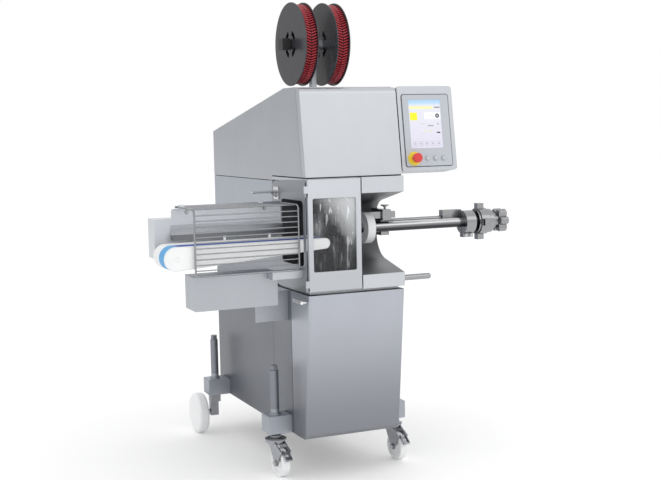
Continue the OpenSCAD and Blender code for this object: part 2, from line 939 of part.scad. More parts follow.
module drip_tray() {
    tray_x0 = -140;
    tray_y0 = guard_y + 8;
    tray_y1 = box_y0 - 2;
    tray_z = guard_low - 37;
    tray_h = 34;
    thick = 2;
    machine() color("silver") difference() {
        box([tray_x0, tray_y0, tray_z], [skin_x, tray_y1, tray_z + tray_h]);
        box([tray_x0 + thick, tray_y0 + thick, tray_z + thick],
            [skin_x - thick, tray_y1 - thick, tray_z + tray_h + cut]);
    }
}

// Quarter bends of the guard's frame wire: in an end frame at x, and in the front at a lower corner
module end_bend(x) {
    translate([x, guard_y + guard_bend, pivot_z - guard_bend]) rotate([90, 0, 90]) rotate([0, 0, 90])
        rotate_extrude(angle = 90) translate([guard_bend, 0]) circle(frame_r);
}

module low_bend(x, turn) {
    translate([x, guard_y, guard_low + guard_bend]) rotate([90, 0, 0]) rotate([0, 0, turn])
        rotate_extrude(angle = 90) translate([guard_bend, 0]) circle(frame_r);
}

// Wire guard over the belt, hinged at the back plate: bent frame wire with straight cross wires
module wire_guard() {
    top_wires = 5;
    high = pivot_z - guard_bend;
    low = guard_low + guard_bend;
    clear = 6;
    pitch = (high - low - 2 * clear) / (guard_wires - 2);
    reach = pivot_y - guard_y - guard_bend;
    machine() color("lightgray") {
        bar_x(guard_x0 - 10, guard_x1 + 10, pivot_y, pivot_z, pivot_r);
        for (x = [guard_x0, guard_x1]) {
            bar_y(guard_y + guard_bend, pivot_y, x, pivot_z, frame_r);
            end_bend(x);
            bar_z(low, high, x, guard_y, frame_r);
        }
        low_bend(guard_x0 + guard_bend, 180);
        low_bend(guard_x1 - guard_bend, 270);
        bar_x(guard_x0 + guard_bend, guard_x1 - guard_bend, guard_y, guard_low, frame_r);
        for (i = [0:guard_wires - 2]) {
            bar_x(guard_x0, guard_x1, guard_y, low + clear + i * pitch, wire_r);
        }
        for (i = [0:top_wires - 1]) {
            bar_x(guard_x0, guard_x1, pivot_y - (i + 0.8) * reach / top_wires, pivot_z, wire_r);
        }
    }
}

// Holding rod on the chamber's left side
module side_rod() {
    y = pivot_y + 55;
    z = pivot_z + 44;
    machine() color("lightgray") {
        bar_x(-120, skin_x, y, z, 6);
        along_x(skin_x - 4, skin_x) translate([y - 30, z - 34]) round_rect(60, 56, 6);
        along_y(y - 3, y + 3) polygon([[skin_x, z], [skin_x - 40, z], [skin_x, z - 30]]);
    }
}

// Bar that docks the machine to the filler
module docking_bar() {
    r = 13;
    y = 50;
    z = chamber_z + 27;
    machine() color("lightgray") {
        bar_x(body_w, body_w + 144, y, z, r);
        bar_x(body_w, body_w + 150, y, z, r - 3);
        bar_x(body_w, body_w + 6, y, z, r + 7);
    }
}

// Filling horn

// Saddle on the scoop's back wall with the guide rod and the clamp for the brake's bar
module horn_support() {
    machine() color("silver") difference() {
        union() {
            box([support_x, axis_y, axis_z - 38], [support_x + support_w, throat_y, axis_z + 30]);
            box([support_x, axis_y - 20, carrier_z - 8],
                [support_x + support_w, throat_y - 25, carrier_z + carrier_h + 10]);
            bar_x(support_x, clamp_x, rod_y, rod_z, rod_r);
        }
        bar_x(support_x - cut, support_x + support_w + cut, axis_y, axis_z, horn_r + run_fit);
        box([support_x - cut, axis_y - carrier_t / 2 - loose, carrier_z - loose],
            [support_x + support_w + cut, axis_y + carrier_t / 2 + loose, carrier_z + carrier_h + loose]);
        bar_z(carrier_z, carrier_z + carrier_h + 20, support_x + support_w / 2, axis_y, 5 + run_fit);
    }
}

// Steel tube that the casing is drawn over, with a collar under the union ring
module filling_horn() {
    machine() color("gainsboro") difference() {
        union() {
            bar_x(horn_x0, horn_x1, axis_y, axis_z, horn_r);
            bar_x(union_x - 8, star_x - 1, axis_y, axis_z, sleeve_r);
        }
        bar_x(horn_x0 - cut, horn_x1 + cut, axis_y, axis_z, horn_r - horn_wall);
    }
}

// Split clamp that ties the horn to the guide rod
module horn_clamp() {
    ring_r = horn_r + 31;
    block_x = clamp_x - 88;
    machine() color("gainsboro") difference() {
        union() {
            bar_x(clamp_x, clamp_x + clamp_w, axis_y, axis_z, ring_r);
            along_y(rod_y - 17, rod_y + 17) translate([block_x, rod_z - 18])
                round_rect(clamp_x - block_x + 10, 54, 4);
            box([clamp_x, axis_y - 16, axis_z - ring_r - 16], [clamp_x + clamp_w, axis_y + 16, axis_z]);
        }
        bar_x(block_x - cut, clamp_x + clamp_w + cut, axis_y, axis_z, horn_r + run_fit);
        bar_x(block_x - cut, clamp_x + run_fit, rod_y, rod_z, rod_r + run_fit);
        box([clamp_x - cut, axis_y - 2, axis_z - ring_r - 20],
            [clamp_x + clamp_w + cut, axis_y + 2, axis_z]);
    }
}

module casing_brake() {
    machine() color("white") difference() {
        bar_x(brake_x, brake_x + brake_w, axis_y, axis_z, brake_r);
        bar_x(brake_x - cut, brake_x + brake_w + cut, axis_y, axis_z, horn_r + loose);
    }
}

// Flat bar that holds the brake ring and slides in the saddle's clamp
module brake_carrier() {
    machine() color("silver")
        box([brake_x + brake_w, axis_y - carrier_t / 2, carrier_z],
            [support_x + support_w + 28, axis_y + carrier_t / 2, carrier_z + carrier_h]);
}

// Screw with a flat mushroom head that clamps the bar
module brake_knob() {
    stem_r = 5;
    head_r = 19;
    edge = 3;
    stem = 24;
    machine() color("silver") translate([support_x + support_w / 2, axis_y, carrier_z + carrier_h])
        rotate_extrude() {
            translate([0, loose]) square([stem_r, stem]);
            translate([0, stem - 4]) square([stem_r + 4, 5]);
            translate([0, stem]) square([head_r - edge, 2 * edge]);
            translate([head_r - edge, stem + edge]) circle(edge);
        }
}

module union_ring() {
    ring_r = sleeve_r + 31;
    lug_r = ring_r + 22;
    machine() color("gainsboro") difference() {
        union() {
            bar_x(union_x, union_x + union_w, axis_y, axis_z, ring_r - 6);
            bar_x(union_x + 10, union_x + union_w - 26, axis_y, axis_z, ring_r);
            for (a = [0:90:270]) translate([union_x, axis_y, axis_z]) rotate([a, 0, 0])
                translate([10, -15, 0]) cube([32, 30, lug_r]);
        }
        bar_x(union_x - cut, union_x + union_w + cut, axis_y, axis_z, sleeve_r + run_fit);
    }
}

// Hand nut with six round lobes
module star_nut() {
    lobes = 6;
    lobe_r = 13;
    lobe_at = horn_r + 22;
    machine() color("gainsboro") along_x(star_x, star_x + star_w) difference() {
        translate([axis_y, axis_z]) {
            circle(horn_r + 24);
            for (i = [0:lobes - 1]) rotate(i * 360 / lobes) translate([lobe_at, 0]) circle(lobe_r);
        }
        translate([axis_y, axis_z]) circle(horn_r + run_fit);
    }
}

// Clipping tools inside the chamber

tool_x = scoop_x - 65;
guide_y = axis_y + 150;
guide_r = 12;
guide_x = [tool_x - 20, tool_x + 20];
gather_y0 = axis_y - 55;
tool_floor = chamber_z + 14;
tool_ceil = chamber_top - 14;

// Guide columns and the fixed lower die on its pillar
module tool_stand() {
    machine() color("dimgray") {
        for (x = guide_x) bar_z(tool_floor, tool_ceil, x, guide_y, guide_r);
        difference() {
            box([tool_x - 13, axis_y - 20, axis_z - 100], [tool_x + 13, axis_y + 20, axis_z - 36]);
            for (x = [tool_x - 6, tool_x + 6]) bar_y(axis_y - 30, axis_y + 30, x, axis_z - 36, 3);
        }
        box([tool_x - 10, axis_y - 12, tool_floor], [tool_x + 10, axis_y + 12, axis_z - 100]);
    }
}

// Carriage on the two guide columns, from the plates' back edge
module carriage(z0, z1, half_w, y0) {
    difference() {
        box([tool_x - half_w, y0, z0], [tool_x + half_w, guide_y + 24, z1]);
        for (x = guide_x) bar_z(z0 - cut, z1 + cut, x, guide_y, guide_r + run_fit);
    }
}

// Gathering plate with its notch over the product axis
module gather_plate(x, t) {
    notch = 40;
    along_x(x, x + t) polygon([
        [gather_y0, axis_z + 24], [axis_y - notch, axis_z + 24], [axis_y, axis_z + 24 + notch],
        [axis_y + notch, axis_z + 24], [guide_y - 38, axis_z + 24], [guide_y - 38, axis_z + 110],
        [gather_y0 + 20, axis_z + 110], [gather_y0, axis_z + 80]
    ]);
}

module gather_upper() {
    machine() color("silver") {
        for (x = [tool_x - 36, tool_x + 30]) gather_plate(x, 6);
        carriage(axis_z + 64, axis_z + 110, 36, guide_y - 38);
    }
}

module gather_lower() {
    machine() color("silver") {
        translate([0, 0, 2 * axis_z]) mirror([0, 0, 1]) {
            for (x = [tool_x - 28, tool_x + 22]) gather_plate(x, 6);
            carriage(axis_z + 64, axis_z + 110, 36, guide_y - 38);
        }
    }
}

// Ram with two punches for the pair of clips
module closing_ram() {
    machine() color("dimgray") {
        box([tool_x - 14, axis_y - 16, axis_z + 70], [tool_x + 14, axis_y + 16, axis_z + 165]);
        for (x = [tool_x - 9, tool_x + 5]) {
            box([x, axis_y - 8, axis_z + 44], [x + 4, axis_y + 8, axis_z + 71]);
        }
        carriage(axis_z + 125, axis_z + 165, 36, axis_y - 16);
    }
}

// Drive motor on its gearbox, on the floor plate behind the lower cover
module gear_motor() {
    x = body_w / 2;
    motor_r = 75;
    box_y = 270;
    axis = floor_z + 110;
    machine() color("steelblue") {
        along_y(box_y, box_y + 150) translate([x - 95, floor_z]) round_rect(190, 220, 20);
        bar_y(box_y - 160, box_y, x, axis, motor_r);
        bar_y(box_y - 14, box_y, x, axis, motor_r + 12);
        bar_z(floor_z + 219, floor_z + 300, x, box_y + 75, 22);
    }
}

// Running gear

front_y = front_leg_y + bracket_d / 2;
rear_y = rear_leg_y + bracket_d / 2;

// Telescoping leg with the castor's head plate
module front_leg() {
    difference() {
        union() {
            bar_z(head_plate_z - 10, cabinet_z + column_h - 14, column_x, front_y, spindle_leg_r);
            bar_z(head_plate_z - 10, head_plate_z - 3, column_x, front_y, 48);
            bar_z(head_plate_z - 10, head_plate_z, column_x, front_y, 43);
            bar_z(head_plate_z, head_plate_z + 12, column_x, front_y, 24);
        }
        bar_z(head_plate_z - 11, head_plate_z + 25, column_x, front_y, 8 + run_fit);
    }
}

// Telescoping leg with the rear wheel's axle
module rear_leg() {
    block = 42;
    stub = 30;
    bar_z(head_plate_z, cabinet_z + column_h - 14, column_x, rear_y, spindle_leg_r);
    box([column_x - 30, rear_y - block / 2, head_plate_z - 15],
        [column_x + 20, rear_y + block / 2, head_plate_z + 20]);
    box([column_x - 30, rear_y - stub / 2, rear_r - 20],
        [column_x + 10, rear_y + stub / 2, head_plate_z]);
    bar_x(rear_wheel_x + rear_cap + 1, column_x, rear_y, rear_r, rear_axle_r);
}

rear_wheel_x = -bracket_w - 15 - rear_w;
// Thickness of the rear wheel's closed outer face over the axle's end
rear_cap = 14;

module leg_front_left() {
    machine() color("silver") front_leg();
}

module leg_front_right() {
    machine() color("silver") right_side() front_leg();
}

module leg_rear_left() {
    machine() color("silver") rear_leg();
}

module leg_rear_right() {
    machine() color("silver") right_side() rear_leg();
}

// Puts children at a front castor's swivel axis, turned by the castor's angle; trail is along -Y
module at_castor(x) {
    machine() translate([x, front_y, 0]) rotate([0, 0, castor_yaw]) children();
}

castor_left_x = column_x;
castor_right_x = body_w - column_x;

// Castor fork: crown plate with the king pin, two cheeks with ears for the pedal, and the axle
module fork() {
    crown_z = head_plate_z - 10 - loose;
    crown_t = 8;
    axle_x = fork_gap / 2 + fork_t + 6;
    color("silver") difference() {
        union() {
            bar_z(crown_z - crown_t, crown_z, 0, 0, 44);
            bar_z(crown_z - crown_t - 7, crown_z, 0, 0, 36);
            bar_z(crown_z - crown_t, crown_z + 22, 0, 0, 8);
            for (x = [-fork_gap / 2 - fork_t, fork_gap / 2]) along_x(x, x + fork_t) {
                polygon([
                    [-40, crown_z - 2], [26, crown_z - 2], wheel_axis + [16, 0], wheel_axis - [16, 0],
                    pedal_axis - [0, 8], pedal_axis + [0, 8]
                ]);
                translate(wheel_axis) circle(16);
                translate(pedal_axis) circle(8);
            }
            bar_x(-axle_x, axle_x, wheel_axis.x, wheel_axis.y, axle_r);
        }
        bar_x(-fork_gap, fork_gap, pedal_axis.x, pedal_axis.y, pedal_pin_r + run_fit);
    }
}

module fork_left() {
    at_castor(castor_left_x) fork();
}

module fork_right() {
    at_castor(castor_right_x) fork();
}

// Solid plastic wheel with a rounded tread and a hub
module wheel(r, w, bore, hub_r) {
    edge = 6;
    web_in = 8;
    rim = r * 0.72;
    rotate([0, 90, 0]) rotate_extrude() {
        translate([bore, -w / 2]) square([hub_r - bore, w]);
        translate([bore, -w / 2 + web_in]) square([r - bore - edge, w - 2 * web_in]);
        translate([rim, -w / 2]) square([r - rim - edge, w]);
        translate([rim, -w / 2 + edge]) square([r - rim, w - 2 * edge]);
        for (z = [-w / 2 + edge, w / 2 - edge]) translate([r - edge, z]) circle(edge);
    }
}

module castor_wheel_left() {
    at_castor(castor_left_x) color("white") translate([0, -castor_trail, castor_r])
        wheel(castor_r, castor_w, axle_r + run_fit, 20);
}

module castor_wheel_right() {
    at_castor(castor_right_x) color("white") translate([0, -castor_trail, castor_r])
        wheel(castor_r, castor_w, axle_r + run_fit, 20);
}

// Full disc with a broadly rounded tread, bored from its inner face
module rear_wheel() {
    edge = 17;
    translate([rear_wheel_x, rear_y, rear_r]) rotate([0, 90, 0]) difference() {
        rotate_extrude() {
            square([rear_r - edge, rear_w]);
            translate([0, edge]) square([rear_r, rear_w - 2 * edge]);
            for (z = [edge, rear_w - edge]) translate([rear_r - edge, z]) circle(edge);
        }
        translate([0, 0, rear_cap]) cylinder(h = rear_w, r = rear_axle_r + run_fit);
    }
}

module rear_wheel_left() {
    machine() color("white") rear_wheel();
}

module rear_wheel_right() {
    machine() color("white") right_side() rear_wheel();
}

// Brake pedal on its pin between the cheeks: a channel with a window, sloping down past the tread
module pedal() {
    half_w = fork_gap / 2 - 4;
    length = 48;
    thick = 4;
    rim_h = 9;
    window = half_w - thick - 3;
    color("silver") translate([0, pedal_axis.x, pedal_axis.y]) rotate([pedal_slope, 0, 0]) {
        bar_x(-fork_gap / 2 - fork_t, fork_gap / 2 + fork_t, 0, 0, pedal_pin_r);
        difference() {
            box([-half_w, -length, -thick / 2], [half_w, 4, rim_h]);
            box([-half_w + thick, -length + thick, thick / 2], [half_w - thick, 4 + cut, rim_h + cut]);
            box([-window, -26, -thick], [window, -9, thick]);
        }
    }
}

module pedal_left() {
    at_castor(castor_left_x) pedal();
}

module pedal_right() {
    at_castor(castor_right_x) pedal();
}

base_frame();
body_panels();
jack_brackets();
lower_cover();
cover_handle();
chamber_housing();
chamber_panel();
window_door();
window_pane();
upper_housing();
head_cover();
panel_housing();
panel_bezel();
panel_screen();
estop_collar();
estop_button();
button_left();
button_middle();
button_right();
spool_stand();
spool_knob();
spool_left();
spool_right();
winding_left();
winding_right();
conveyor_housing();
conveyor_box();
belt_bed();
conveyor_belt();
tail_drum();
belt_guide();
drip_tray();
wire_guard();
side_rod();
docking_bar();
horn_support();
filling_horn();
horn_clamp();
casing_brake();
brake_carrier();
brake_knob();
union_ring();
star_nut();
tool_stand();
gather_upper();
gather_lower();
closing_ram();
gear_motor();
leg_front_left();
leg_front_right();
leg_rear_left();
leg_rear_right();
fork_left();
fork_right();
castor_wheel_left();
castor_wheel_right();
pedal_left();
pedal_right();
rear_wheel_left();
rear_wheel_right();
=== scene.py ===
import math

import bmesh
import bpy
from mathutils import Matrix, Vector


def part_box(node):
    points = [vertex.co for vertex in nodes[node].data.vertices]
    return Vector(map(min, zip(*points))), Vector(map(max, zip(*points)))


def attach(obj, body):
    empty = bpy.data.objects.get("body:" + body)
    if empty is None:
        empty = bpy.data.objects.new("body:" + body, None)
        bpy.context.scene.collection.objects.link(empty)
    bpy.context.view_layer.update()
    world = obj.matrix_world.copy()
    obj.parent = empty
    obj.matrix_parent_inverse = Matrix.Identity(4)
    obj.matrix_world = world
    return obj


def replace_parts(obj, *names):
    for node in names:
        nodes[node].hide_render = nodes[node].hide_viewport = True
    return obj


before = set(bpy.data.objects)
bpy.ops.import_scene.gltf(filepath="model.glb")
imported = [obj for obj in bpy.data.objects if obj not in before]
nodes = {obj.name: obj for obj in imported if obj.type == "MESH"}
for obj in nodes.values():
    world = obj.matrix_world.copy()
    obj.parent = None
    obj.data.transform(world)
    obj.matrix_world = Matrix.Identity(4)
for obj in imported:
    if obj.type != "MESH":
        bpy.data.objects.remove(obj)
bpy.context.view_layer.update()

# The studio: a plain pale floor, a white world with a soft grey screen at the back on the left, which only
# shows in what mirrors it, one weak lamp high in front, and the camera at the photograph's angle.

scene = bpy.context.scene
scene.view_settings.view_transform = "Standard"


class Wire:
    """A socket in a material's nodes. Sums, products and the like of wires add Math nodes."""

    def __init__(self, tree, socket):
        self.tree = tree
        self.socket = socket

    def node(self, kind, settings=None, inputs=None, out=0):
        made = self.tree.nodes.new("ShaderNode" + kind)
        for key, value in (settings or {}).items():
            setattr(made, key, value)
        for key, value in (inputs or {}).items():
            if isinstance(value, Wire):
                self.tree.links.new(value.socket, made.inputs[key])
            else:
                made.inputs[key].default_value = value
        return Wire(self.tree, made.outputs[out])

    def maths(self, operation, *values):
        return self.node("Math", {"operation": operation}, dict(enumerate(values)))

    def __add__(self, other):
        return self.maths("ADD", self, other)

    def __radd__(self, other):
        return self.maths("ADD", other, self)

    def __sub__(self, other):
        return self.maths("SUBTRACT", self, other)

    def __rsub__(self, other):
        return self.maths("SUBTRACT", other, self)

    def __mul__(self, other):
        return self.maths("MULTIPLY", self, other)

    def __rmul__(self, other):
        return self.maths("MULTIPLY", other, self)

    def __truediv__(self, other):
        return self.maths("DIVIDE", self, other)

    def __rtruediv__(self, other):
        return self.maths("DIVIDE", other, self)

    def __gt__(self, other):
        return self.maths("GREATER_THAN", self, other)

    def __lt__(self, other):
        return self.maths("LESS_THAN", self, other)

    def __abs__(self):
        return self.maths("ABSOLUTE", self)


def ease(value, low, high):
    """0 below low, 1 above high, and smooth between them."""
    return value.node("MapRange", {"interpolation_type": "SMOOTHSTEP"}, {0: value, 1: low, 2: high})


def tint(share, first, second):
    """Colour from first to second as share goes from 0 to 1."""
    pair = [c if isinstance(c, Wire) else (*c, 1.0) for c in (first, second)]
    return share.node("Mix", {"data_type": "RGBA"}, {0: share, 6: pair[0], 7: pair[1]}, 2)


def finish(name, **sockets):
    """A material with the sockets that stay the same all over; gives it, its shader and its places."""
    mat = bpy.data.materials.new(name)
    mat.use_nodes = True
    tree = mat.node_tree
    shader = tree.nodes["Principled BSDF"]
    for key, value in sockets.items():
        shader.inputs[key.replace("_", " ")].default_value = value
    coords = tree.nodes.new("ShaderNodeTexCoord")
    return mat, shader, Wire(tree, coords.outputs["Object"])


def feed(shader, **wires):
    for key, wire in wires.items():
        wire.tree.links.new(wire.socket, shader.inputs[key.replace("_", " ")])


def noise(place, scale, detail=2.0, stretch=None):
    """Cloudy values about 0.5, with the given number of clouds in a metre."""
    if stretch:
        place = place.node("VectorMath", {"operation": "MULTIPLY"}, {0: place, 1: stretch})
    return place.node("TexNoise", {}, {"Vector": place, "Scale": scale, "Detail": detail})


def axes(place):
    split = place.node("SeparateXYZ", {}, {0: place})
    return [Wire(place.tree, split.socket.node.outputs[i]) for i in range(3)]


world = bpy.data.worlds.new("studio")
scene.world = world
world.use_nodes = True
sky = world.node_tree
sky_at = Wire(sky, sky.nodes.new("ShaderNodeTexCoord").outputs["Generated"])
side, ahead = axes(sky_at)[:2]
sky_sight = sky_at.node("LightPath")
screen_grey = 0.52 * ease(0.78 * ahead - 0.62 * side, 0.74, 0.97)
sky_shade = 1.0 - screen_grey * (1.0 - sky_sight)
sky_colour = tint(sky_shade, (0.0, 0.0, 0.0), (1.0, 1.0, 1.0))
sky.links.new(sky_colour.socket, sky.nodes["Background"].inputs["Color"])

floor_mesh = bpy.data.meshes.new("floor")
reach = 30.0
floor_mesh.from_pydata([(-reach, -reach, 0), (reach, -reach, 0), (reach, reach, 0), (-reach, reach, 0)],
                       [], [(0, 1, 2, 3)])
floor = bpy.data.objects.new("floor", floor_mesh)
scene.collection.objects.link(floor)
floor_mat, floor_shader, floor_at = finish("pale_floor", Roughness=0.9, Specular_IOR_Level=0.0,
                                           Emission_Strength=1.0)
sight = floor_at.node("LightPath")
seen = sight + Wire(sight.tree, sight.socket.node.outputs["Is Glossy Ray"])
feed(floor_shader, Base_Color=tint(noise(floor_at, 0.7), (0.91, 0.91, 0.91), (0.94, 0.94, 0.94)),
     Emission_Color=tint(seen, (0.0, 0.0, 0.0), (0.16, 0.16, 0.16)))
floor_mesh.materials.append(floor_mat)

key_data = bpy.data.lights.new("key", "AREA")
key_data.shape = "RECTANGLE"
key_data.size, key_data.size_y = 4.0, 3.0
key_data.energy = 30.0
key = bpy.data.objects.new("key", key_data)
key.location = (2.6, -5.2, 4.6)
key.rotation_mode = "QUATERNION"
machine_middle = Vector((0.0, -0.3, 1.2))
key.rotation_quaternion = (machine_middle - key.location).to_track_quat("-Z", "Y")
scene.collection.objects.link(key)

camera_data = bpy.data.cameras.new("camera")
camera_data.sensor_fit = "HORIZONTAL"
camera_data.sensor_width = 36.0
camera_data.lens = 62.78
camera = bpy.data.objects.new("camera", camera_data)
eye = Vector((-2.05874, -5.01166, 1.52481))
yaw, pitch, roll = (math.radians(a) for a in (23.688, 5.549, 1.1705))
ahead_dir = Vector((math.sin(yaw) * math.cos(pitch), math.cos(yaw) * math.cos(pitch), -math.sin(pitch)))
level = Vector((math.cos(yaw), -math.sin(yaw), 0.0))
down = ahead_dir.cross(level)
right_dir = math.cos(roll) * level + math.sin(roll) * down
down_dir = math.cos(roll) * down - math.sin(roll) * level
turned = Matrix((right_dir, -down_dir, -ahead_dir)).transposed().to_4x4()
camera.matrix_world = Matrix.Translation(eye) @ turned
scene.collection.objects.link(camera)
scene.camera = camera

# Body: folded stainless sheets on a welded frame. The sheets are blasted with fine beads, which leaves a
# matt, cool grey skin with faint clouds in it; towards the floor some sheets are painted darker, as painted
# shade.


def coat(mat, *names):
    """Gives drawn pieces their finish."""
    for name in names:
        for slot in nodes[name].material_slots:
            slot.material = mat


def relief(place, height, strength, depth, round_edge=0.0):
    """Fine bumps, on edges that a small round takes the sharpness from."""
    inputs = {"Height": height, "Strength": strength, "Distance": depth}
    if round_edge:
        inputs["Normal"] = place.node("Bevel", {"samples": 4}, {"Radius": round_edge})
    return place.node("Bump", {}, inputs)


def blasted_steel(name, tone, floor_shade=1.0, shade_from=0.15, shade_to=0.9, rough=0.42, dark_boxes=()):
    """Blasted sheet; it can be darkened towards the floor, as painted shade, and inside the boxes given."""
    mat, shader, place = finish(name, Metallic=0.82)
    cloud = noise(place, 5.0, 3.0)
    wipe = noise(place, 14.0, 2.0, (1.0, 1.0, 0.25))
    grain = noise(place, 1400.0, 1.0)
    share = 0.5 + 0.7 * (cloud - 0.5) + 0.35 * (wipe - 0.5) + 0.5 * (grain - 0.5)
    colour = tint(share, [c * 0.93 for c in tone], [min(c * 1.06, 1.0) for c in tone])
    if floor_shade < 1.0:
        height = axes(place)[2]
        colour = tint(ease(height, shade_from, shade_to), [c * floor_shade for c in tone], colour)
    for low, high, dark in dark_boxes:
        inside = 1.0
        for value, least, most in zip(axes(place), low, high):
            inside = inside * (value > least) * (value < most)
        colour = tint(inside * (0.86 + 0.28 * (cloud - 0.5)), colour, [c * dark for c in tone])
    feed(shader, Base_Color=colour, Roughness=rough + 0.12 * (cloud - 0.5) + 0.1 * (grain - 0.5),
         Normal=relief(place, grain, 0.12, 0.0003, 0.0016))
    return mat


head_steel = blasted_steel("head_steel", (0.56, 0.58, 0.61))
# body_steel and cover_steel grow darker towards the floor: painted shade.
body_steel = blasted_steel("body_steel", (0.47, 0.495, 0.55), 0.39, 0.62, 1.25)
# hood_steel, for the upper housing's sides, is a darker copy of head_steel: painted shade.
hood_steel = blasted_steel("hood_steel", (0.50, 0.52, 0.555))
skin_steel = blasted_steel("skin_steel", (0.33, 0.345, 0.37))
panel_steel = blasted_steel("panel_steel", (0.53, 0.55, 0.58))
cover_steel = blasted_steel("cover_steel", (0.47, 0.487, 0.535), 0.55, 0.19, 0.80)
jack_low, jack_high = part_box("jack_brackets")
margin, bracket_h = 0.1, 0.105
columns_low = jack_low + Vector((-margin, -margin, bracket_h))
columns = (columns_low, jack_high + Vector((margin, margin, margin)), 0.60)
bracket_steel = blasted_steel("bracket_steel", (0.41, 0.43, 0.475), rough=0.48, dark_boxes=(columns,))
coat(body_steel, "body_panels")
coat(skin_steel, "chamber_panel")
coat(cover_steel, "lower_cover")
coat(head_steel, "head_cover")
coat(hood_steel, "upper_housing")
# The door has its own lighter copy of the steel, painted light, and darkens towards its foot as painted
# shade.
door_low, door_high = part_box("window_door")
coat(blasted_steel("door_steel", (0.62, 0.64, 0.675), 0.83, door_low.z, door_high.z), "window_door")
coat(panel_steel, "panel_housing")
coat(bracket_steel, "jack_brackets")

# Inside the chamber and in its throat the steel is painted darker: painted shade.
chamber_low, chamber_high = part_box("chamber_housing")
wall_x = chamber_low.x + 0.2505
front_rim, floor_t, roof_t, back_t = 0.021, 0.012, 0.0135, 0.002
room_shade = (chamber_low + Vector((-0.01, front_rim, floor_t)),
        Vector((wall_x, chamber_high.y - back_t, chamber_high.z - roof_t)), 0.035)
front_skin, side_skin, throat_lip, throat_end = 0.0015, 0.0005, 0.05, 0.1
throat_shade = (Vector((wall_x, chamber_low.y + front_skin, chamber_low.z + throat_lip)),
         chamber_high - Vector((side_skin, throat_end, throat_lip)), 0.25)
coat(blasted_steel("chamber_steel", (0.60, 0.62, 0.65), dark_boxes=(room_shade, throat_shade)), "chamber_housing")

frame_mat, frame_shader, frame_at = finish("frame_paint", Metallic=0.3)
frame_dust = noise(frame_at, 9.0, 3.0)
feed(frame_shader, Base_Color=tint(frame_dust, (0.10, 0.10, 0.11), (0.19, 0.19, 0.20)),
     Roughness=0.45 + 0.25 * frame_dust, Normal=relief(frame_at, noise(frame_at, 700.0), 0.15, 0.0004))
coat(frame_mat, "base_frame")

# Window door: a clear plastic pane set in the door's frame from behind. Wiping has left faint upright
# streaks; the upper right is painted hazy white, a painted reflection of light, with the streaks stronger
# there.

pane_low, pane_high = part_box("window_pane")
pane_mat, pane_shader, pane_at = finish("pane", Base_Color=(0.88, 0.90, 0.92, 1.0), Roughness=0.08)
pane_x, _, pane_z = axes(pane_at)
slant = pane_x - (pane_low.x + pane_high.x) / 2 + 0.9 * (pane_z - (pane_low.z + pane_high.z) / 2)
# The upper right grows whiter and its streaks stronger: painted reflection.
painted_glare = ease(slant, 0.015, 0.22)
streak = ease(noise(pane_at, 64.0, 2.0, (1.0, 1.0, 0.22)), 0.60, 0.68)
smudge = noise(pane_at, 16.0, 3.0, (1.0, 1.0, 0.5))
feed(pane_shader, Alpha=(0.03 + 0.56 * painted_glare + streak * (0.06 + 0.40 * ease(slant, -0.12, 0.10))
                         + 0.10 * ease(smudge, 0.5, 0.8)))
coat(pane_mat, "window_pane")

# Clipping tools in the chamber: hardened plates that gather the casing, and a ram that closes the clips,
# sliding on two ground guide columns. All of it is coloured very dark.

tool_mat, tool_shader, tool_at = finish("tool_steel", Metallic=0.9)
tool_mottle = noise(tool_at, 30.0, 3.0)
feed(tool_shader, Base_Color=tint(tool_mottle, (0.035, 0.035, 0.04), (0.13, 0.13, 0.135)),
     Roughness=0.22 + 0.25 * tool_mottle, Normal=relief(tool_at, noise(tool_at, 500.0), 0.08, 0.0003, 0.001))
coat(tool_mat, "tool_stand", "closing_ram", "gather_upper", "gather_lower")

# Drive: a cast geared motor bolted on the floor plate behind the lower cover, sprayed with a smooth
# blue-grey machine paint.

drive_mat, drive_shader, drive_at = finish("drive_paint", Coat_Weight=0.3)
drive_peel = noise(drive_at, 260.0)
feed(drive_shader, Base_Color=tint(noise(drive_at, 8.0), (0.10, 0.14, 0.20), (0.13, 0.18, 0.25)),
     Roughness=0.35 + 0.15 * drive_peel, Normal=relief(drive_at, drive_peel, 0.1, 0.0005, 0.002))
coat(drive_mat, "gear_motor")

# Control panel: a light grey film with a lit screen in a leaning box, a red mushroom button on a yellow
# disc, and three steel push buttons. A dark cord round the film's edge is painted shade, a shadow line.

bezel_mat, bezel_shader, bezel_at = finish("panel_film")
film_grain = noise(bezel_at, 1600.0, 1.0)
feed(bezel_shader, Base_Color=tint(noise(bezel_at, 11.0), (0.50, 0.525, 0.57), (0.54, 0.565, 0.61)),
     Roughness=0.42 + 0.12 * film_grain, Normal=relief(bezel_at, film_grain, 0.1, 0.0002, 0.001))
coat(bezel_mat, "panel_bezel")

screen_low, screen_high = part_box("panel_screen")
screen_mat, screen_shader, screen_at = finish("lit_screen", Roughness=0.12, Emission_Strength=0.08)
screen_x, _, screen_z = axes(screen_at)
across = (screen_x - screen_low.x) / (screen_high.x - screen_low.x)
up = (screen_z - screen_low.z) / (screen_high.z - screen_low.z)


def patch(u0, u1, v0, v1):
    """1 inside a rectangle of the screen, given in shares of its width and height."""
    return (across > u0) * (across < u1) * (up > v0) * (up < v1)


def dot(u, v, radius):
    shape = (screen_high.z - screen_low.z) / (screen_high.x - screen_low.x)
    du, dv = across - u, (up - v) * shape
    return (du * du + dv * dv) < radius * radius


